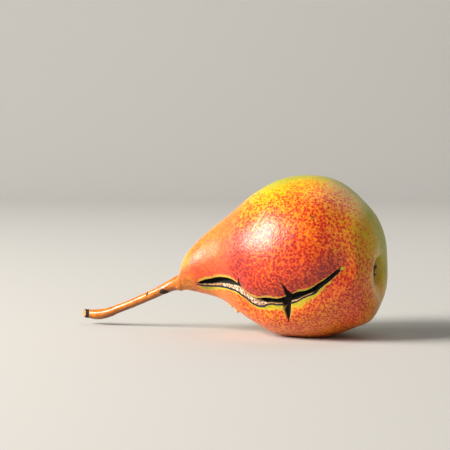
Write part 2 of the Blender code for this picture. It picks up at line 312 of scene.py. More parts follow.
def middle(station):
    """The point of the pear's bent middle line at each station."""
    before = np.maximum(WIDEST_STATION - station, 0.0) / WIDEST_STATION
    after = np.maximum(station - WIDEST_STATION, 0.0) / (LENGTH - WIDEST_STATION)
    y = -NECK_SIDEWAYS * before**2 - END_SIDEWAYS * after**2
    z = BELLY_RADIUS - SINK - NECK_DROOP * before**NECK_DROOP_POWER - END_DROOP * after**2.5
    z = z - STEM_SIDE_DROP * bell(station, 0.0, STEM_SIDE_REACH)
    return np.stack([NECK_X + station, y, z], -1)


def across_knots(low, high, gap, deep):
    """Place and depth of each knot across the crack, and the colour masks that go with them.

    low and high are how far the crack's lower and upper edge lie from its middle, gap is the width of
    its part painted dark as shade and deep that part's depth. Each row gives place, depth and three masks:
    cork, the painted shade of the crevice under it and the painted shade of the gap.
    """
    edge = high - gap
    zero = np.zeros_like(low)
    middle_of_shelf = (edge - low) / 2
    rows = [
        (-low - 0.95, zero, 0, 0, 0),
        (-low - 0.45, zero - 0.13, 0, 0, 0),
        (-low - 0.2, zero - 0.02, 0, 0.5, 0),
        (-low - 0.02, zero + 0.5, 0, 1, 0),
        (-low + 0.26, zero + 0.75, 0, 1, 0),
        (-low + 0.44, zero + 0.28, 1, 0.3, 0),
        (middle_of_shelf, zero + 0.22, 1, 0, 0),
        (edge - 0.14, zero + 0.34, 0.6, 0, 0),
        (edge + 0.05, 0.35 + 0.3 * deep, 0, 0, 1),
        (edge + 0.25 * gap, deep, 0, 0, 1),
        (high - 0.1 * gap, deep, 0, 0, 1),
        (high + 0.12, 0.5 * deep + 0.3, 0, 0, 1),
        (high + 0.02, zero + 0.35, 0, 0, 1),
        (high + 0.22, zero - 0.06, 0, 0, 0),
        (high + 0.9, zero, 0, 0, 0),
    ]
    place = np.stack([row[0] for row in rows], -1)
    depth = np.stack([row[1] + zero for row in rows], -1)
    masks = [np.stack([zero + row[i] for row in rows], -1) for i in (2, 3, 4)]
    return place, depth, masks


def between_knots(values, sharp=False):
    """The knots with the wanted number of columns after each of them."""
    count = values.shape[-1]
    parts = [[k + i / n for i in range(n)] for k, n in enumerate(COLUMNS_AFTER_KNOT)]
    at = np.concatenate(parts + [[count - 1]])
    if sharp:
        return np.stack([np.interp(at, range(count), row) for row in values])
    return np.stack([hermite(np.column_stack([range(count), row]), at)[0] for row in values])


def crack_middle(station, radius):
    """The crack's middle in radians and its half width in millimetres."""
    upper, lower = hermite(CRACK, station)[:2]
    return np.radians(upper + lower) / 2, np.maximum(np.radians(upper - lower) / 2 * radius, 0.0)


def crack_columns(station, radius):
    """Across the crack for every row: place, depth and the masks for cork, the crevice's painted shade and
    the gap's painted shade.
    """
    half = crack_middle(station, radius)[1]
    gap_share = hermite(CRACK, station)[2]
    open_share = smooth(half / 0.4)
    line = np.column_stack([station, 0 * station, 0 * station])
    low = half * (1 + 0.05 * grain(line, 0.45, 3.0)) + 0.12 * grain(line, 0.9, 5.0)
    high = half * (1 + 0.04 * grain(line, 0.35, 9.0)) + 0.08 * grain(line, 1.1, 7.0)
    gap = np.clip(gap_share, 0.1, 0.95) * (low + high) * (1 + 0.1 * grain(line, 0.8, 11.0)) + GAP_MORE
    gap = np.minimum(gap, np.maximum(low + high - SHELF_LEAST, 0.1))
    deep = np.minimum(0.9 + 1.25 * gap, 3.4)
    place, depth, masks = across_knots(low, high, gap, deep)
    flat = across_knots(*(np.full_like(low, v) for v in (0.7, 0.7, 0.7, 1.0)))[0]
    place, flat = between_knots(place), between_knots(flat)
    flat = np.sort(flat, axis=1) + 0.02 * np.arange(flat.shape[1]) - 0.4
    depth = between_knots(depth)
    masks = [np.clip(between_knots(mask, sharp=True), 0, 1) * open_share[:, None] for mask in masks]
    cork, crevice_shade, gap_shade = masks
    # Past station 63 the shelf is painted with the crevice's shade instead of cork.
    shelf_in_shade = smooth((station - 63.0) / 3.0)[:, None]
    masks = [cork * (1 - shelf_in_shade), np.maximum(crevice_shade, cork * shelf_in_shade), gap_shade]
    place = flat + (place - flat) * open_share[:, None]
    depth = depth * open_share[:, None]
    below = np.cumsum(np.linspace(0.28, 0.62, BELOW_COLUMNS))[::-1]
    above = np.cumsum(np.linspace(0.28, 0.58, ABOVE_COLUMNS))
    place = np.concatenate([place[:, :1] - below, place, place[:, -1:] + above], axis=1)

    def padded(values):
        return np.pad(values, ((0, 0), (BELOW_COLUMNS, ABOVE_COLUMNS)))

    return place, padded(depth), [padded(mask) for mask in masks]


def column_angles(station, radius, place):
    """The angle of every column in every row, evenly spread round the back."""
    centre = crack_middle(station, radius)[0]
    ahead = crack_middle(station + 0.5, radius)[0]
    slant = np.hypot(1.0, radius * (ahead - centre) / 0.5)
    near = centre[:, None] + place * (slant / np.maximum(radius, 6.0))[:, None]
    half_free = FREE_COLUMNS // 2
    back = FRONT + math.pi
    up = (np.arange(half_free) + 1) / half_free
    down = (np.arange(half_free) + 1) / (half_free + 1)
    rising = near[:, -1:] + (back - near[:, -1:]) * up
    falling = back + (near[:, :1] + 2 * math.pi - back) * down
    near = np.concatenate([near, rising, falling], axis=1)
    count = near.shape[1]
    even = FRONT - math.pi * (place.shape[1] - 1) / count + 2 * math.pi * np.arange(count) / count
    drawn = smooth((station - 3.0) / 6.0) * smooth((83.0 - station) / 6.0)
    rim = int(np.argmax(station))
    drawn[rim:] = 0.0
    return even + (near - even) * drawn[:, None]


def groove(points, station, arc_radius, angle):
    """How close to a groove's middle each point lies, 1 on it and 0 at its edge, and its depth there."""
    near = np.zeros_like(station)
    depth = np.zeros_like(station)
    for (x0, a0, w0, d0), (x1, a1, w1, d1) in zip(points, points[1:]):
        dx, dy = x1 - x0, math.radians(a1 - a0) * arc_radius
        px, py = station - x0, (angle - math.radians(a0)) * arc_radius
        u = np.clip((px * dx + py * dy) / (dx * dx + dy * dy + 1e-9), 0, 1)
        away = np.hypot(px - u * dx, py - u * dy) / (w0 + (w1 - w0) * u)
        closer = np.maximum(1 - away, 0)
        depth = np.where(closer > near, d0 + (d1 - d0) * u, depth)
        near = np.maximum(near, closer)
    return near, depth


def wrapped(angle):
    """The same angle between half a turn down and half a turn up."""
    return (angle + math.pi) % (2 * math.pi) - math.pi


def away_from(spot, station, turn, radius):
    """Millimetres along the skin from a spot that is given by its station and degrees."""
    return np.hypot(station - spot[0], (turn - math.radians(spot[1])) * radius)


def lean_of_rows(station, side):
    """Rows bend with the cross gash, so that its edges run along them."""
    near = bell(station, 54.8, 3.2)
    up = -2.2 * smooth((side - 1.0) / 6.0)
    down = -1.7 * smooth((-side - 2.0) / 11.0)
    fade = smooth((22 - np.abs(side)) / 10)
    return near * np.where(side > 0, up, down) * fade


def cut_gashes(station, radius, turn, cut, cork, crevice_shade, gap_shade):
    """The crack's depth and its masks, with both arms of the cross gash and the notch added."""
    for points in (UPPER_ARM, LOWER_ARM, NOTCH):
        near, depth = groove(points, station, radius, turn)
        rim = 0.1 * bell(near, 0.02, 0.05) * (near > 0) * (cut < 0.2)
        cut = np.maximum(cut, depth * smooth(near / 0.55)) - rim
        hole = smooth(near / 0.2)
        cork, crevice_shade = cork * (1 - hole), crevice_shade * (1 - hole)
        # The insides of the gashes take the gap's painted shade, less of it in the lower arm.
        gap_shade = np.maximum(gap_shade, hole * (0.6 if points is LOWER_ARM else 1.0))
    return cut, cork, crevice_shade, gap_shade


def crumb_amount(station, radius, turn):
    """How much each point belongs to one of the dried crumbs under the neck."""
    found = np.zeros_like(station)
    for *spot, wide in CRUMBS:
        found = np.maximum(found, smooth(1.3 - away_from(spot, station, turn, radius) / wide))
    return found


def swelling(row_station, station, radius, turn, outer):
    """Millimetres by which the neck's front and the lobes of the blossom end stand out."""
    degrees = np.degrees(turn)
    flank = smooth((degrees + 40) / 40) * smooth((75 - degrees) / 40)
    front = flank * (0.8 * bell(station, 7.6, 5.8) - 0.14 * bell(station, 26.0, 8.0))
    shoulder = smooth((row_station - 76.0) / 7.0)
    lobes = 0.55 * np.cos(5 * turn + 0.6) + 0.25 * np.cos(3 * turn + 2.0)
    lobes = shoulder * np.where(outer > 0, 1.0, 0.7) * lobes
    return front, lobes * smooth((radius - 2.5) / 5.0) * smooth((22 - radius) / 6)


def grain_places(line, station, radius, out):
    """Where each point lies for the skin's grain, which is drawn out along the neck."""
    first = int(np.argmax(line[:, 0]))
    stretch = 0.4 + 0.6 * smooth((line[:-1, 0] - 30) / 10)
    grown_along = np.concatenate([[0.0], np.cumsum(np.diff(line[:, 0]) * stretch)])
    shrunk = np.interp(station, line[:first, 0], grown_along[:first])
    return np.stack([shrunk, out[..., 1] * radius, out[..., 2] * radius], -1) * MM


def body_surface():
    """Every vertex of the skin as rows by columns, its material's marks and the places for its grain."""
    line = outline_line()
    row_station, row_radius = row_places(line)
    place, cut, masks = crack_columns(row_station, row_radius)
    angle = column_angles(row_station, row_radius, place)
    free = np.zeros((ROWS + 1, FREE_COLUMNS))
    cut, cork, crevice_shade, gap_shade = (np.hstack([values, free]) for values in (cut, *masks))
    centre, half = (values[:, None] for values in crack_middle(row_station, row_radius))
    share, below_band, above_band = (values[:, None] for values in hermite(CRACK, row_station)[2:])
    rim = int(np.argmax(row_station))
    outer = (np.arange(ROWS + 1) < rim)[:, None] * 1.0
    row_station = row_station[:, None]

    # Rows near the cross gash bend with it.
    station = row_station + 0 * angle
    radius = row_radius[:, None] + 0 * angle
    side = wrapped(angle - centre) * radius
    bent = station + lean_of_rows(station, side)
    grown = line[: int(np.argmax(line[:, 0]))]
    bends = (station > 40) & (station < 70)
    radius = np.where(bends, np.interp(bent, grown[:, 0], grown[:, 1]), radius)
    station = np.where(bends, bent, station)
    turn = wrapped(angle)
    degrees = np.degrees(turn)

    # How far the skin lies below the plain form.
    reach = VALLEY_REACH * np.where(side > 0, 1.0, 1.15)
    along = smooth((station - 9.0) / 12.0) * smooth((83.4 - station) / 7.0)
    inward = VALLEY_DEPTH * along * bell(side, 0.0, reach)
    near, depth = groove(CREASE, station, radius, turn)
    inward += depth * smooth(near * 1.1)
    cut, cork, crevice_shade, gap_shade = cut_gashes(station, radius, turn, cut, cork, crevice_shade, gap_shade)
    scar, depth = groove(SCRATCH, station, radius, turn)
    inward += cut + depth * scar
    pit = bell(away_from(PIT, station, turn, radius), 0.0, PIT_WIDTH)
    inward += 0.35 * pit
    inward *= outer

    # How far it stands out, with the cork's granules and the crumbs.
    out = np.stack([LEAN * np.sin(turn), -np.cos(turn), np.sin(turn)], -1)
    plain = middle(station) + radius[..., None] * out
    scab = crumb_amount(station, radius, turn)
    lumpy = smooth((2 * half * (1 - share) - 0.8) / 1.2) * smooth((row_station - 20.0) / 5.0)
    skin_only = 1 - np.maximum(gap_shade, np.maximum(cork, crevice_shade))
    swell = 0.16 * grain(plain, 0.11, 1.0) + 0.03 * grain(plain, 0.5, 2.0) * skin_only
    granules = 0.2 * grain(plain, 1.1, 4.0) + 0.16 * grain(plain, 2.3, 6.0)
    swell += granules * cork * (0.25 + 0.75 * lumpy)
    swell += scab * (1.0 + 0.6 * grain(plain, 0.9, 8.0))
    for more in swelling(row_station, station, radius, turn, outer):
        swell += more
    swell *= smooth(radius / 2.0)

    ways = np.where(outer > 0, 1.0, -0.6)
    points = middle(station) + (radius - inward + swell * ways)[..., None] * out
    drawn, near_stem = collar(points)
    joint = outer * smooth((6.0 - station) / 5.5)
    points = points + drawn * joint[..., None]
    points[..., 2] = np.maximum(points[..., 2], 0.0)

    # The yellow-green lips along the crack and round the lower arm, and the flake that died there.
    rough_edge = 0.35 * grain(plain, 0.8, 21.0)
    below = smooth(1.15 - (-side - half) / (below_band * 1.3 + 0.2) + rough_edge) * (side < 0)
    above = smooth(1.15 - (side - half) / (above_band * 1.3 + 0.2) + rough_edge) * (side >= 0)
    ends = smooth((row_station - 9.6) / 4) * smooth((78 - row_station) / 4)
    lip = np.maximum(below, above) * ends
    arm_near, _ = groove([(x, a, w + 1.1, d) for x, a, w, d in LOWER_ARM[1:5]], station, radius, turn)
    lip = np.maximum(lip, smooth(arm_near / 0.45) * smooth((degrees + 44) / 6))
    arm_rim = bell(arm_near, 0.34, 0.1) * (station > 54.0) * smooth((-34 - degrees) / 3)
    flake = bell(away_from(DEAD_FLAKE, station, turn, radius), 0.0, FLAKE_WIDTH)

    blush = blush_amount(station, degrees, np.degrees(centre))
    across_end = np.clip(0.24 - 0.021 * out[..., 1] * radius - 0.012 * out[..., 2] * radius, 0.0, 0.8)
    blush = blush + (across_end - blush) * smooth((station - 69.0) / 12.0)
    dull = bell(station, 29, 5) + 0.75 * bell(station, 16.5, 4)
    # The neck end's underside is browned with the joint, partly as painted shade.
    shaded_under_end = smooth((13.5 - station) / 6.5) * smooth((10 - degrees) / 40) * smooth((degrees + 110) / 30)
    basin = np.where(outer > 0, 0.0, smooth((9.0 - radius) / 6.0))
    marks = {
        "cork": np.maximum(cork, flake),
        # The crevice's and the gap's painted shade.
        "crevice_shade": crevice_shade,
        "gap_shade": gap_shade * (1 - flake),
        "lip": lip,
        "upper_lip": lip * (side >= 0) * smooth((60 - station) / 10),
        "lumpy": np.maximum(lumpy + 0 * station, flake),
        "rim": arm_rim,
        "dull": dull * smooth((degrees + 10) / 15) * smooth((60 - degrees) / 20),
        # The lower lip near the neck, darkened to olive as painted shade.
        "shaded_lower_lip": lip * (side < 0) * smooth((21 - station) / 8),
        "end_pale": outer * smooth((10 - station) / 7) * smooth((degrees + 5) / 25),
        "blush": blush * (1 - 0.4 * basin),
        "scar": smooth(scar * 1.4),
        "pit": pit,
        "scab": scab,
        "russet": basin,
        "neck": smooth((34 - station) / 11),
        "joint": outer * np.maximum(near_stem * smooth((7.0 - station) / 4.0), 0.8 * shaded_under_end),
    }
    return points, marks, grain_places(line, station, radius, out)


def collar(points):
    """How far the neck's end is drawn out along the stem, most below, and how near each point is to it."""
    root, next_point = np.array(STEM[1][:3]), np.array(STEM[2][:3])
    way = (next_point - root) / np.linalg.norm(next_point - root)
    from_axis = points - root
    from_axis = from_axis - (from_axis @ way)[..., None] * way
    away = np.linalg.norm(from_axis, axis=-1)
    up = np.array([0.0, 0.0, 1.0]) - way[2] * way
    lift = (from_axis @ up) / np.linalg.norm(up) / np.maximum(away, 0.5)
    above = smooth((lift - 0.1) / 0.7)
    reach = COLLAR_REACH * (1 - 0.55 * above)
    length = COLLAR_LENGTH * (1 - 0.7 * above) * np.exp(-np.maximum(away - STEM[1][3], 0.0) / reach)
    sink = way[2] * smooth((lift + 0.3) / 0.8)
    direction = np.stack([way[0] + 0 * sink, way[1] + 0 * sink, sink], -1)
    return length[..., None] * direction, np.exp(-np.maximum(away - STEM[1][3], 0.0) / 2.4)


# How red the skin is by degrees round the widest part, 90 being the top and -90 what faces the table.
BLUSH_ROUND = [
    (-180.0, 0.02),
    (-150.0, 0.05),
    (-130.0, 0.14),
    (-110.0, 0.32),
    (-90.0, 0.5),
    (-70.0, 0.62),
    (-50.0, 0.64),
    (-36.0, 0.68),
    (-22.0, 0.94),
    (-5.0, 0.84),
    (10.0, 0.76),
    (30.0, 0.67),
    (46.0, 0.6),
    (58.0, 0.51),
    (68.0, 0.38),
    (76.0, 0.22),
    (86.0, 0.06),
    (104.0, 0.0),
    (180.0, 0.02),
]


def blush_amount(station, degrees, centre):
    """How red the skin is, from 0, yellow-green, to 1, the deepest red."""
    follow = centre + 27.5
    shifted = degrees - follow * bell(degrees, centre, 22)
    toward_neck = smooth((40 - station) / 22)
    shifted = shifted - 6 * toward_neck * smooth((degrees - 20) / 40)
    shifted = shifted - 14 * smooth((station - 60) / 16) * smooth(degrees / 40)
    shifted = shifted + 18 * bell(station, 43, 9) * smooth((degrees - 25) / 30)
    amount = hermite(BLUSH_ROUND, np.clip(shifted, -180, 180))[0]
    beside_crease = bell(station, 32, 7) * smooth((degrees + 40) / 30) * smooth((44 - degrees) / 30)
    amount = amount + 0.22 * beside_crease
    pale_neck = 0.74 + 0.12 * bell(degrees, -5, 25)
    return np.clip(amount * (1 + (pale_neck - 1) * toward_neck), 0, 1)


def in_mesh_order(rows):
    """Rows of values as one list, with a single value for the point that closes each end."""
    return np.concatenate([rows[0, :1], rows[1:-1].reshape(-1, *rows.shape[2:]), rows[-1, :1]])


def grid_mesh(name, rows):
    """A mesh from rows of points that close round, with a single point in the middle of each end."""
    count, columns = rows.shape[:2]
    points = in_mesh_order(rows)
    faces = []
    index = 1 + np.arange(count - 2)[:, None] * columns + np.arange(columns)
    after = np.roll(index, -1, axis=1)
    last = len(points) - 1
    for k in range(columns):
        faces.append((0, after[0, k], index[0, k]))
        faces.append((last, index[-1, k], after[-1, k]))
    quads = np.stack([index[:-1], after[:-1], after[1:], index[1:]], -1).reshape(-1, 4)
    faces = [tuple(map(int, face)) for face in faces] + quads.tolist()
    mesh = bpy.data.meshes.new(name)
    mesh.from_pydata((points * MM).tolist(), [], faces)
    mesh.shade_smooth()
    return mesh


def add_mark(mesh, name, values):
    """A number or a vector on every vertex, given in rows as grid_mesh takes them."""
    kind, field = ("FLOAT_VECTOR", "vector") if values.ndim == 3 else ("FLOAT", "value")
    mark = mesh.attributes.new(name, kind, "POINT")
    mark.data.foreach_set(field, in_mesh_order(values).astype(np.float32).ravel())


def add_piece(name, mesh, node, surface):
    piece = bpy.data.objects.new(name, mesh)
    bpy.context.scene.collection.objects.link(piece)
    mesh.materials.append(surface)
    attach(piece, "root")
    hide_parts(node)


def colour(red, green, blue):
    """Screen values from 0 to 255 as the linear colour that a shader takes."""
    screen = (red / 255, green / 255, blue / 255)
    return (*(v / 12.92 if v <= 0.04045 else ((v + 0.055) / 1.055) ** 2.4 for v in screen), 1.0)


class Shader:
    """Short ways to build one material's nodes."""

    def __init__(self, name):
        self.material = bpy.data.materials.new(name)
        self.material.use_nodes = True
        self.tree = self.material.node_tree
        self.surface = self.tree.nodes["Principled BSDF"]

    def put(self, socket, value):
        if isinstance(value, bpy.types.NodeSocket):
            self.tree.links.new(value, socket)
        else:
            socket.default_value = value

    def give(self, name, value):
        self.put(self.surface.inputs[name], value)

    def node(self, kind, inputs, output=0, **settings):
        made = self.tree.nodes.new(kind)
        for key, value in settings.items():
            setattr(made, key, value)
        for key, value in inputs.items():
            self.put(made.inputs[key], value)
        return made.outputs[output]

    def mark(self, name, vector=False):
        return self.node("ShaderNodeAttribute", {}, 1 if vector else 2, attribute_name=name)

    def place(self):
        return self.node("ShaderNodeTexCoord", {}, 3)

    def math(self, what, first, second=0.0, clamp=False):
        return self.node("ShaderNodeMath", {0: first, 1: second}, operation=what, use_clamp=clamp)

    def times(self, first, second):
        return self.math("MULTIPLY", first, second)

    def plus(self, first, second, clamp=False):
        return self.math("ADD", first, second, clamp)

    def swing(self, value, amount):
        """A value from 0 to 1 as a change to either side."""
        return self.times(self.math("SUBTRACT", value, 0.5), amount)

    def mix(self, factor, first, second):
        return self.node("ShaderNodeMix", {0: factor, 6: first, 7: second}, 2, data_type="RGBA")

    def step(self, value, low, high, to_low=0.0, to_high=1.0):
        inputs = {0: value, 1: low, 2: high, 3: to_low, 4: to_high}
        return self.node("ShaderNodeMapRange", inputs, interpolation_type="SMOOTHSTEP")

    def noise(self, where, scale, detail=2.0, roughness=0.5):
        inputs = {"Vector": where, "Scale": scale, "Detail": detail, "Roughness": roughness}
        return self.node("ShaderNodeTexNoise", inputs)

    def cells(self, where, scale):
        return self.node("ShaderNodeTexVoronoi", {"Vector": where, "Scale": scale})

    def ramp(self, value, stops):
        """A colour ramp from stops that each give a place and a colour from 0 to 255."""
        made = self.tree.nodes.new("ShaderNodeValToRGB")
        elements = made.color_ramp.elements
        while len(elements) < len(stops):
            elements.new(1.0)
        for element, (at, *shade) in zip(elements, stops):
            element.position = at
            element.color = colour(*shade)
        self.put(made.inputs[0], value)
        return made.outputs[0]

    def bump(self, height, strength, distance, under=None):
        inputs = {"Height": height, "Strength": strength, "Distance": distance}
        if under is not None:
            inputs["Normal"] = under
        return self.node("ShaderNodeBump", inputs)


def skin_material():
    s = Shader("pear_skin_blushed")
    where = s.mark("where", vector=True)
    place = s.place()
    neck = s.mark("neck")
    cloud = s.noise(place, 75, 3, 0.6)
    mottle = s.noise(where, 640, 2.5, 0.6)
    fine = s.noise(where, 1350, 1, 0.6)

    # Redness: the blush, thinned at the yellow-green lips and uneven everywhere.
    redness = s.times(s.mark("blush"), s.step(s.mark("lip"), 0.0, 0.95, 1.0, 0.03))
    shift = s.swing(cloud, 0.34)
    shift = s.plus(shift, s.swing(mottle, 0.3))
    redness = s.plus(redness, s.times(shift, s.step(redness, 0.02, 0.3)), clamp=True)

    # The ground between the spots is paler, and the spots are darker.
    spots = s.cells(where, 830)
    net = s.plus(s.times(mottle, 0.3), s.times(fine, 0.7))
    net = s.plus(net, s.swing(spots, 0.3))
    paler = s.times(s.step(net, 0.46, 0.6), s.step(redness, 0.1, 0.5, 0.12, 0.3))
    paler = s.times(paler, s.step(neck, 0.0, 1.0, 1.0, 0.55))
    ground = s.math("SUBTRACT", redness, paler, clamp=True)
    base = s.ramp(
        ground,
        [
            (0.0, 172, 174, 14),
            (0.12, 226, 194, 12),
            (0.3, 242, 164, 18),
            (0.5, 240, 116, 20),
            (0.72, 222, 54, 14),
            (1.0, 160, 16, 8),
        ],
    )
    spot_shade = s.ramp(
        redness,
        [
            (0.0, 146, 134, 6),
            (0.14, 208, 122, 6),
            (0.3, 216, 72, 8),
            (0.5, 202, 34, 6),
            (0.72, 172, 16, 4),
            (1.0, 122, 5, 3),
        ],
    )
    freckle = s.step(spots, 0.46, 0.26)
    small = s.step(s.cells(where, 1500), 0.46, 0.22)
    freckle = s.math("MAXIMUM", freckle, s.times(small, 0.5))
    strength = s.step(redness, 0.0, 0.3, 0.5, 0.86)
    strength = s.times(strength, s.step(neck, 0.0, 1.0, 1.0, 0.38))
    faded = s.times(s.step(cloud, 0.38, 0.62), s.step(redness, 0.12, 0.0, 0.0, 0.4))
    base = s.mix(faded, base, colour(208, 190, 44))
    skin = s.mix(s.times(freckle, strength), base, spot_shade)

    # The neck is paler and finely streaked along its length.
    streak = s.noise(where, 1150, 2, 0.55)
    rosy = s.step(redness, 0.04, 0.4)
    pale = s.times(s.step(streak, 0.46, 0.7), s.times(s.times(neck, 0.35), rosy))
    skin = s.mix(pale, skin, colour(244, 150, 74))
    skin = s.mix(s.times(s.times(s.step(neck, 0.0, 0.8), 0.42), rosy), skin, colour(228, 86, 42))
    skin = s.mix(s.times(s.mark("end_pale"), 0.55), skin, colour(244, 180, 84))
    # The neck's end is brown round the stem, and on its underside the brown is partly painted shade.
    fibre = s.noise(where, 700, 3, 0.6)
    joint_brown_and_shade = s.times(s.step(s.mark("joint"), 0.05, 0.9), s.step(fibre, 0.3, 0.6, 0.8, 0.98))
    skin = s.mix(joint_brown_and_shade, skin, s.ramp(fibre, [(0.35, 158, 84, 2), (0.65, 218, 128, 8)]))

    # The yellow-green lips of the crack; near the neck the lower lip is darkened to olive as painted shade.
    lip_shade = s.ramp(
        s.noise(place, 420, 3, 0.6),
        [(0.3, 150, 156, 14), (0.52, 208, 190, 30), (0.75, 236, 182, 60)],
    )
    lip = s.times(s.step(s.mark("lip"), 0.15, 0.95), s.step(freckle, 0.0, 1.0, 0.9, 0.6))
    lip_shade = s.mix(s.times(s.mark("upper_lip"), 0.7), lip_shade, colour(236, 170, 76))
    lip_shade = s.mix(s.times(s.mark("shaded_lower_lip"), 0.6), lip_shade, colour(122, 108, 6))
    skin = s.mix(lip, skin, lip_shade)

    # Small marks: the healed scratch, the pit, the crumbs and the russet round the calyx.
    skin = s.mix(s.step(s.mark("scar"), 0.0, 0.7), skin, colour(248, 186, 130))
    skin = s.mix(s.times(s.mark("pit"), 0.7), skin, colour(92, 84, 34))
    crust = s.ramp(s.noise(place, 900, 3, 0.7), [(0.35, 168, 130, 50), (0.55, 240, 222, 150)])
    skin = s.mix(s.times(s.step(s.mark("scab"), 0.1, 0.5), 0.9), skin, crust)
    russet_edge = s.plus(s.mark("russet"), s.swing(mottle, 0.9))
    russet = s.times(s.step(russet_edge, 0.3, 1.2), 0.6)
    skin = s.mix(russet, skin, s.ramp(fine, [(0.35, 132, 88, 30), (0.65, 186, 140, 56)]))

    # The crack: lumpy cork, tan where it is thin, painted shade in the crevice below it and near-black
    # painted shade inside the gap.
    cork_grain = s.plus(s.times(s.noise(place, 950, 2, 0.7), 0.7), s.times(s.noise(place, 2600), 0.3))
    cork_shade = s.ramp(
        cork_grain,
        [
            (0.4, 52, 26, 22),
            (0.45, 140, 88, 66),
            (0.5, 208, 154, 118),
            (0.55, 240, 208, 174),
            (0.63, 255, 246, 232),
        ],
    )
    tan = s.ramp(cork_grain, [(0.4, 128, 80, 48), (0.5, 190, 136, 92), (0.62, 228, 186, 140)])
    cork_shade = s.mix(s.mark("lumpy"), tan, cork_shade)
    cork = s.step(s.mark("cork"), 0.25, 0.6)
    skin = s.mix(cork, skin, cork_shade)
    # The crevice under the cork and the inside of the gap are painted dark as shade.
    skin = s.mix(s.step(s.mark("crevice_shade"), 0.2, 0.5), skin, colour(20, 6, 30))
    gap_shade = s.mark("gap_shade")
    inside = s.ramp(gap_shade, [(0.0, 84, 48, 24), (0.55, 40, 20, 12), (0.95, 5, 3, 3)])
    skin = s.mix(s.step(gap_shade, 0.2, 0.55), skin, inside)
    skin = s.mix(s.times(s.mark("rim"), 0.7), skin, colour(176, 116, 96))

    # Waxy skin, dull where it is wounded.
    wound = s.math("MAXIMUM", cork, s.step(s.mark("crevice_shade"), 0.1, 0.5))
    wound = s.math("MAXIMUM", wound, s.step(gap_shade, 0.2, 0.6))
    gloss = s.step(mottle, 0.35, 0.65, 0.31, 0.36)
    gloss = s.plus(gloss, s.times(s.mark("joint"), 0.25))
    gloss = s.plus(gloss, s.times(s.mark("dull"), 0.16))
    rough = s.math("MAXIMUM", gloss, s.times(wound, 0.9))

    pebble = s.plus(s.times(fine, 0.6), s.times(freckle, -0.3))
    pebble = s.plus(pebble, s.times(mottle, 0.4))
    level = s.bump(pebble, 0.3, 0.0003)
    level = s.bump(s.times(cork_grain, cork), 0.9, 0.0008, level)
    s.give("Base Color", skin)
    s.give("Roughness", rough)
    s.give("Normal", level)
    s.give("Specular IOR Level", 0.65)
    s.give("Subsurface Weight", 0.06)
    s.give("Subsurface Radius", (1.0, 0.35, 0.15))
    s.give("Subsurface Scale", 0.0012)
    return s.material


def build_body():
    points, marks, where = body_surface()
    mesh = grid_mesh("pear_skin", points)
    for name, values in marks.items():
        add_mark(mesh, name, values)
    add_mark(mesh, "where", where)
    add_piece("pear_skin", mesh, "pear_body", skin_material())


def stem_path():
    """Close points along the stem with its radius there, how far along each lies, and the whole length."""
    stem = np.array(STEM)
    run = np.concatenate([[0.0], np.cumsum(np.linalg.norm(np.diff(stem[:, :3], axis=0), axis=1))])
    at = np.linspace(0, run[-1], STEM_RINGS)
    path = np.stack(hermite(np.column_stack([run, stem]), at), -1)
    return path, at, run[-1]


def bump_amount(rows, centre, size):
    """1 at the centre of a bump or nick, falling off at the distances that its size gives."""
    return bell(np.linalg.norm((rows - np.array(centre)) / np.array(size), axis=-1), 0.0, 1.0)


def build_stem():
    path, at, length = stem_path()
    way = path[-1, :3] - path[-2, :3]
    way /= np.linalg.norm(way)
    tip = path[-1].copy()
    ends = [[*(tip[:3] + way * forward), tip[3] * share] for forward, share in CUT_RINGS]
    start = path[0].copy()
    start[3] = 0.0
    path = np.vstack([start, path, ends])
    at = np.concatenate([[0.0], at, np.full(len(ends), length)])
    along = at[:, None]
    turn = np.linspace(0, 2 * math.pi, STEM_SIDES, endpoint=False)
    around = np.repeat(along * 0.12, STEM_SIDES, 1)
    spots = np.stack([around, np.cos(turn) * 1.6 + 0 * along, np.sin(turn) * 1.6 + 0 * along], -1)
    roundness = 1 + 0.05 * grain(spots, 0.9, 12.0) + 0.018 * grain(spots, 3.0, 14.0)
    roundness *= (1 + 0.035 * grain(np.column_stack([at, 0 * at, 0 * at]), 0.3, 15.0))[:, None]
    rows = tube_rows(path, roundness)

    # It widens into the neck, most below, and is cut at a slant.
    centre = path[:, None, :3]
    down = np.clip(-(rows - centre)[..., 2] / path[:, None, 3].clip(0.5), -0.4, 1)
    flare = bell(path[:, 0], FLARE_X, FLARE_REACH)[:, None] * (0.16 + 0.4 * down)
    rows = centre + (rows - centre) * (1 + flare)[..., None]
    slanted = smooth(1 - (length - at) / 5.0)[:, None] * (centre[..., 1] - rows[..., 1])
    rows[..., 0] += CUT_SLANT * slanted

    knot = bump_amount(rows, KNOT, KNOT_SIZE)
    nick = bump_amount(rows, NICK, NICK_SIZE)
    rough = 1 + 0.6 * grain(rows, 1.2, 16.0)
    rows = rows + (rows - centre) * (KNOT_HEIGHT * knot * rough - NICK_DEPTH * nick)[..., None]
    mesh = grid_mesh("stem_bark", rows)
    face = np.zeros((len(at), STEM_SIDES))
    face[1 - len(ends) :] = 1.0
    face[-len(ends)] = 0.35
    marks = {
        "knot": np.maximum(smooth(knot * 1.4), smooth(nick * 1.5)),
        "face": face,
        "ring": smooth((along - (length - RING_LENGTH)) / 0.8) * (1 - face),
        # How far each point faces up, used for the underside's painted shade.
        "upper": np.sin(turn)[None, :] + 0 * along,
        "root": smooth((9.5 - along) / 6.0) + 0 * face,
        "where": spots * MM,
    }
    for name, values in marks.items():
        add_mark(mesh, name, values)
    add_piece("stem_bark", mesh, "stem", stem_material())


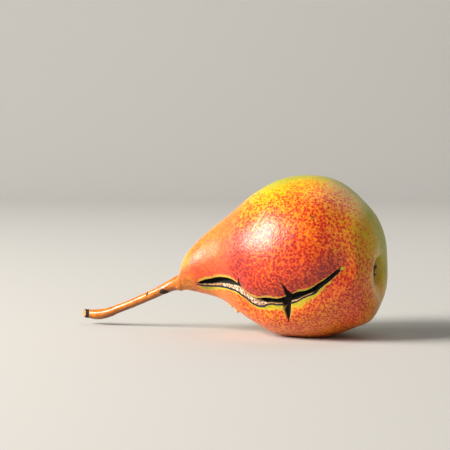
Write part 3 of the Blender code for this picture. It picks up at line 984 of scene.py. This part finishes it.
def tube_rows(path, roundness):
    """Rings of points along the stem, the cut face's rings facing the way of the stem's last length."""
    way = np.gradient(path[:, :3], axis=0)
    last = -1 - len(CUT_RINGS)
    body = np.linalg.norm(path[:, :3] - path[last, :3], axis=1) > 0.5
    way[~body] = path[last - 1, :3] - path[last - 4, :3]
    way[:2] = way[2]
    way /= np.linalg.norm(way, axis=1, keepdims=True)
    right = np.cross(way, np.array([0.0, 0.0, 1.0]))
    right /= np.linalg.norm(right, axis=1, keepdims=True)
    over = np.cross(right, way)
    turn = np.linspace(0, 2 * math.pi, STEM_SIDES, endpoint=False)
    ring = right[:, None] * np.cos(turn)[:, None] + over[:, None] * np.sin(turn)[:, None]
    return path[:, None, :3] + ring * (path[:, 3, None] * roundness)[..., None]


def stem_material():
    s = Shader("stem_bark_golden")
    where = s.mark("where", vector=True)
    place = s.place()
    fibre = s.noise(where, 2600, 3, 0.6)
    patch = s.noise(place, 260, 3, 0.6)
    bark = s.ramp(
        s.plus(s.times(fibre, 0.5), s.times(patch, 0.5)),
        [
            (0.3, 128, 54, 2),
            (0.45, 184, 96, 2),
            (0.58, 212, 124, 6),
            (0.75, 230, 156, 40),
        ],
    )
    # The underside is darkened: painted shade.
    under = s.step(s.mark("upper"), 0.1, -0.9)
    bark = s.mix(s.times(under, 0.75), bark, colour(92, 36, 2))
    bark = s.mix(s.times(s.mark("root"), 0.5), bark, colour(214, 112, 16))
    speck = s.step(s.cells(place, 620), 0.2, 0.1)
    bark = s.mix(s.times(speck, 0.55), bark, colour(92, 44, 14))
    char = s.noise(place, 1300, 3, 0.7)
    charred = s.ramp(char, [(0.4, 16, 6, 2), (0.56, 44, 18, 4), (0.68, 120, 62, 16)])
    burn = s.plus(s.mark("knot"), s.swing(s.noise(place, 900), 0.9))
    bark = s.mix(s.times(s.step(burn, 0.3, 0.62), s.step(s.mark("knot"), 0.0, 0.15)), bark, charred)
    bark = s.mix(s.step(s.mark("ring"), 0.25, 0.7), bark, colour(22, 9, 3))
    wood = s.ramp(s.noise(place, 1500, 3, 0.6), [(0.35, 132, 90, 46), (0.65, 206, 166, 108)])
    bark = s.mix(s.step(s.mark("face"), 0.2, 0.8), bark, wood)
    s.give("Base Color", bark)
    dull = s.math("MAXIMUM", s.mark("knot"), s.math("MAXIMUM", s.mark("ring"), s.mark("face")))
    dull = s.step(dull, 0.1, 0.5)
    gloss = s.step(patch, 0.3, 0.7, 0.24, 0.34)
    s.give("Roughness", s.math("MAXIMUM", gloss, s.times(dull, 0.85)))
    height = s.plus(s.times(fibre, 0.7), s.times(burn, -0.4))
    s.give("Normal", s.bump(height, 0.35, 0.0003))
    s.give("Coat Weight", s.step(dull, 0.0, 0.6, 0.35, 0.0))
    s.give("Coat Roughness", 0.2)
    return s.material


def calyx_material():
    s = Shader("calyx_dried_brown")
    place = s.place()
    vein = s.noise(place, 1800, 3, 0.65)
    shade = s.ramp(vein, [(0.3, 38, 24, 14), (0.5, 92, 64, 38), (0.72, 150, 118, 76)])
    s.give("Base Color", shade)
    s.give("Roughness", s.step(vein, 0.3, 0.7, 0.75, 0.95))
    s.give("Normal", s.bump(vein, 0.6, 0.0004))
    return s.material


def sepal(turn, tilt, curl, width, length):
    """One dried flower leaf as a sheet of points, in the calyx's own axes: x out of the pear."""
    u = np.linspace(0, 1, LEAF_STEPS)[:, None]
    v = np.linspace(-1, 1, LEAF_ACROSS)[None, :]
    spread = 1.6 + length * u * np.cos(tilt * u)
    rise = 0.5 + length * 0.55 * np.sin(tilt * u * 1.5) - curl * u**3
    half = width * (0.55 + 0.65 * u - 1.2 * u**2.6 + 0.02)
    x = rise + 0.28 * v**2 * (1 - u) + 0.1 * np.sin(9 * u + 3 * v)
    side = v * np.maximum(half, 0.05)
    sheet = np.stack([x, spread + 0 * v, side], -1)
    cos, sin = math.cos(turn), math.sin(turn)
    return sheet @ np.array([[1, 0, 0], [0, cos, -sin], [0, sin, cos]]).T


def closed_sheet(top):
    """Points and faces of a sheet made as thick as a dried leaf, closed all round."""
    steps, across = top.shape[:2]
    low = top - np.array([SEPAL_THICKNESS, 0.0, 0.0])
    points = np.vstack([top.reshape(-1, 3), low.reshape(-1, 3)])
    index = np.arange(steps * across).reshape(steps, across)
    shift = steps * across
    faces = []
    for i in range(steps - 1):
        for j in range(across - 1):
            a, b, c, d = index[i, j], index[i, j + 1], index[i + 1, j + 1], index[i + 1, j]
            faces.append((a, b, c, d))
            faces.append((d + shift, c + shift, b + shift, a + shift))
    edge = [*index[0, :], *index[1:, -1], *index[-1, -2::-1], *index[-2:0:-1, 0]]
    for a, b in zip(edge, edge[1:] + edge[:1]):
        faces.append((b, a, a + shift, b + shift))
    return points, faces


def thread(base, tip, bend):
    """The remains of a stamen: a thin bent thread with a thicker end, closed at both ends."""
    rings, sides = THREAD_RINGS, THREAD_SIDES
    u = np.linspace(0, 1, rings)[:, None]
    line = base + (tip - base) * u + bend * np.sin(math.pi * u)
    thick = STAMEN_RADIUS * (1 - 0.5 * u[:, 0])
    thick[-2:] = STAMEN_RADIUS * 1.3
    turn = np.linspace(0, 2 * math.pi, sides, endpoint=False)
    ring = np.stack([0 * turn, np.cos(turn), np.sin(turn)], -1)
    points = (line[:, None] + ring * thick[:, None, None]).reshape(-1, 3)
    faces = [tuple(range(sides - 1, -1, -1)), tuple(range((rings - 1) * sides, rings * sides))]
    for first in range(0, (rings - 1) * sides, sides):
        for j in range(sides):
            k = (j + 1) % sides
            faces.append((first + j, first + k, first + sides + k, first + sides + j))
    return points, faces


def calyx_cup():
    """Points and faces of the short cup in which the leaves and stamens stand."""
    turn = np.linspace(0, 2 * math.pi, CUP_SIDES, endpoint=False)
    rows = []
    for rise, radius in CUP:
        wide = radius * (1 + 0.05 * np.cos(5 * turn) * (radius > 1.5))
        rows.append(np.stack([rise + 0 * turn, wide * np.cos(turn), wide * np.sin(turn)], -1))
    points = in_mesh_order(np.array(rows))
    last = len(points) - 1
    faces = []
    for j in range(CUP_SIDES):
        k = (j + 1) % CUP_SIDES
        faces.append((0, 1 + k, 1 + j))
        faces.append((last, last - CUP_SIDES + j, last - CUP_SIDES + k))
        for a in range(1, last - CUP_SIDES, CUP_SIDES):
            faces.append((a + j, a + k, a + CUP_SIDES + k, a + CUP_SIDES + j))
    return points, faces


def build_calyx():
    """Dried leaves round a short cup, with the remains of the stamens in the middle."""
    sheets = []
    random = np.random.default_rng(CALYX_SEED)
    for k in range(SEPALS):
        turn = 2 * math.pi * (k + 0.15) / SEPALS + random.uniform(-0.1, 0.1)
        tilt, curl = random.uniform(0.7, 1.0), random.uniform(0.2, 0.9)
        width, length = random.uniform(1.0, 1.25), random.uniform(2.5, 2.9)
        sheets.append(closed_sheet(sepal(turn, tilt, curl, width, length)))
    for k in range(STAMENS):
        turn = 2 * math.pi * k / STAMENS + random.uniform(-0.2, 0.2)
        out = np.array([0.0, math.cos(turn), math.sin(turn)])
        base = np.array([0.1, 0.0, 0.0]) + out
        tip = np.array([random.uniform(1.2, 2.0), 0.0, 0.0]) + out * random.uniform(0.6, 1.5)
        sheets.append(thread(base, tip, out * random.uniform(-0.2, 0.3)))
    sheets.append(calyx_cup())
    seat = middle(np.array(OUTLINE[-1][0]))
    points, faces, start = [], [], 0
    for sheet_points, sheet_faces in sheets:
        points.append(seat + sheet_points)
        faces += [tuple(int(i) + start for i in face) for face in sheet_faces]
        start += len(sheet_points)
    mesh = bpy.data.meshes.new("calyx_leaves")
    mesh.from_pydata((np.vstack(points) * MM).tolist(), [], faces)
    mesh.shade_smooth()
    add_piece("calyx_leaves", mesh, "calyx", calyx_material())


def floor_material():
    s = Shader("floor_pale")
    s.give("Base Color", colour(196, 194, 190))
    s.give("Roughness", 0.8)
    s.give("Specular IOR Level", 0.0)
    return s.material


def build_floor():
    """A pale floor that bends up into a wall behind the pear."""
    profile = [(-FLOOR_REACH, 0.0), (BEND_AT, 0.0)]
    for k in range(1, BEND_STEPS + 1):
        turn = math.pi / 2 * k / BEND_STEPS
        profile.append((BEND_AT + BEND * math.sin(turn), BEND * (1 - math.cos(turn))))
    profile.append((BEND_AT + BEND, WALL_TOP))
    cos, sin = math.cos(CAMERA_TURN), math.sin(CAMERA_TURN)
    ends = [(x, y, z) for y, z in profile for x in (-FLOOR_REACH, FLOOR_REACH)]
    points = [(x * cos - y * sin, x * sin + y * cos, z) for x, y, z in ends]
    faces = [(2 * k, 2 * k + 1, 2 * k + 3, 2 * k + 2) for k in range(len(profile) - 1)]
    mesh = bpy.data.meshes.new("floor")
    mesh.from_pydata(points, [], faces)
    mesh.shade_smooth()
    mesh.materials.append(floor_material())
    floor = bpy.data.objects.new("floor", mesh)
    bpy.context.scene.collection.objects.link(floor)


def aim(thing, point):
    way = Vector(point) - thing.location
    thing.rotation_euler = way.to_track_quat("-Z", "Y").to_euler()


def add_light(name, azimuth, elevation, distance, size, power, shade):
    """A square soft light aimed at the pear, from the side that its azimuth names."""
    data = bpy.data.lights.new(name, "AREA")
    data.size = size
    data.energy = power
    data.color = shade
    light = bpy.data.objects.new(name, data)
    turn, rise = math.radians(azimuth), math.radians(elevation)
    target = Vector(LIGHTS_AIM)
    way = Vector((math.sin(turn) * math.cos(rise), -math.cos(turn) * math.cos(rise), math.sin(rise)))
    light.location = target + way * distance
    bpy.context.scene.collection.objects.link(light)
    aim(light, target)
    return light


def build_lights():
    lights = {name: add_light(name, *values) for name, *values in LIGHTS}
    aim(lights["wall"], WALL_LIGHT_AIM)
    world = bpy.data.worlds.new("studio")
    bpy.context.scene.world = world
    world.use_nodes = True
    sky = world.node_tree.nodes["Background"]
    sky.inputs[0].default_value = SKY_SHADE
    sky.inputs[1].default_value = SKY_STRENGTH


def build_camera():
    """The photograph's view: the pixel where the pear touches the table stays where it was."""
    pixels = LENS / SENSOR * FRAME_SIDE
    across = (TOUCH_PIXEL[0] - FRAME_SIDE / 2) / pixels
    down = (TOUCH_PIXEL[1] - FRAME_SIDE / 2) / pixels
    pitch = CAMERA_RISE - math.atan(down)
    cos, sin = math.cos(CAMERA_TURN), math.sin(CAMERA_TURN)
    ahead = Vector((-sin * math.cos(pitch), cos * math.cos(pitch), -math.sin(pitch)))
    right = Vector((cos, sin, 0.0))
    up = right.cross(ahead)
    data = bpy.data.cameras.new("camera")
    data.sensor_width = SENSOR
    data.lens = LENS
    data.clip_start = 0.01
    camera = bpy.data.objects.new("camera", data)
    camera.location = Vector(TOUCH_POINT) - CAMERA_DISTANCE * (ahead + across * right - down * up)
    camera.rotation_euler = ahead.to_track_quat("-Z", "Y").to_euler()
    bpy.context.scene.collection.objects.link(camera)
    bpy.context.scene.camera = camera


def main():
    build_camera()
    build_body()
    build_stem()
    build_calyx()
    build_floor()
    build_lights()
    bpy.context.scene.view_settings.view_transform = "Standard"


main()
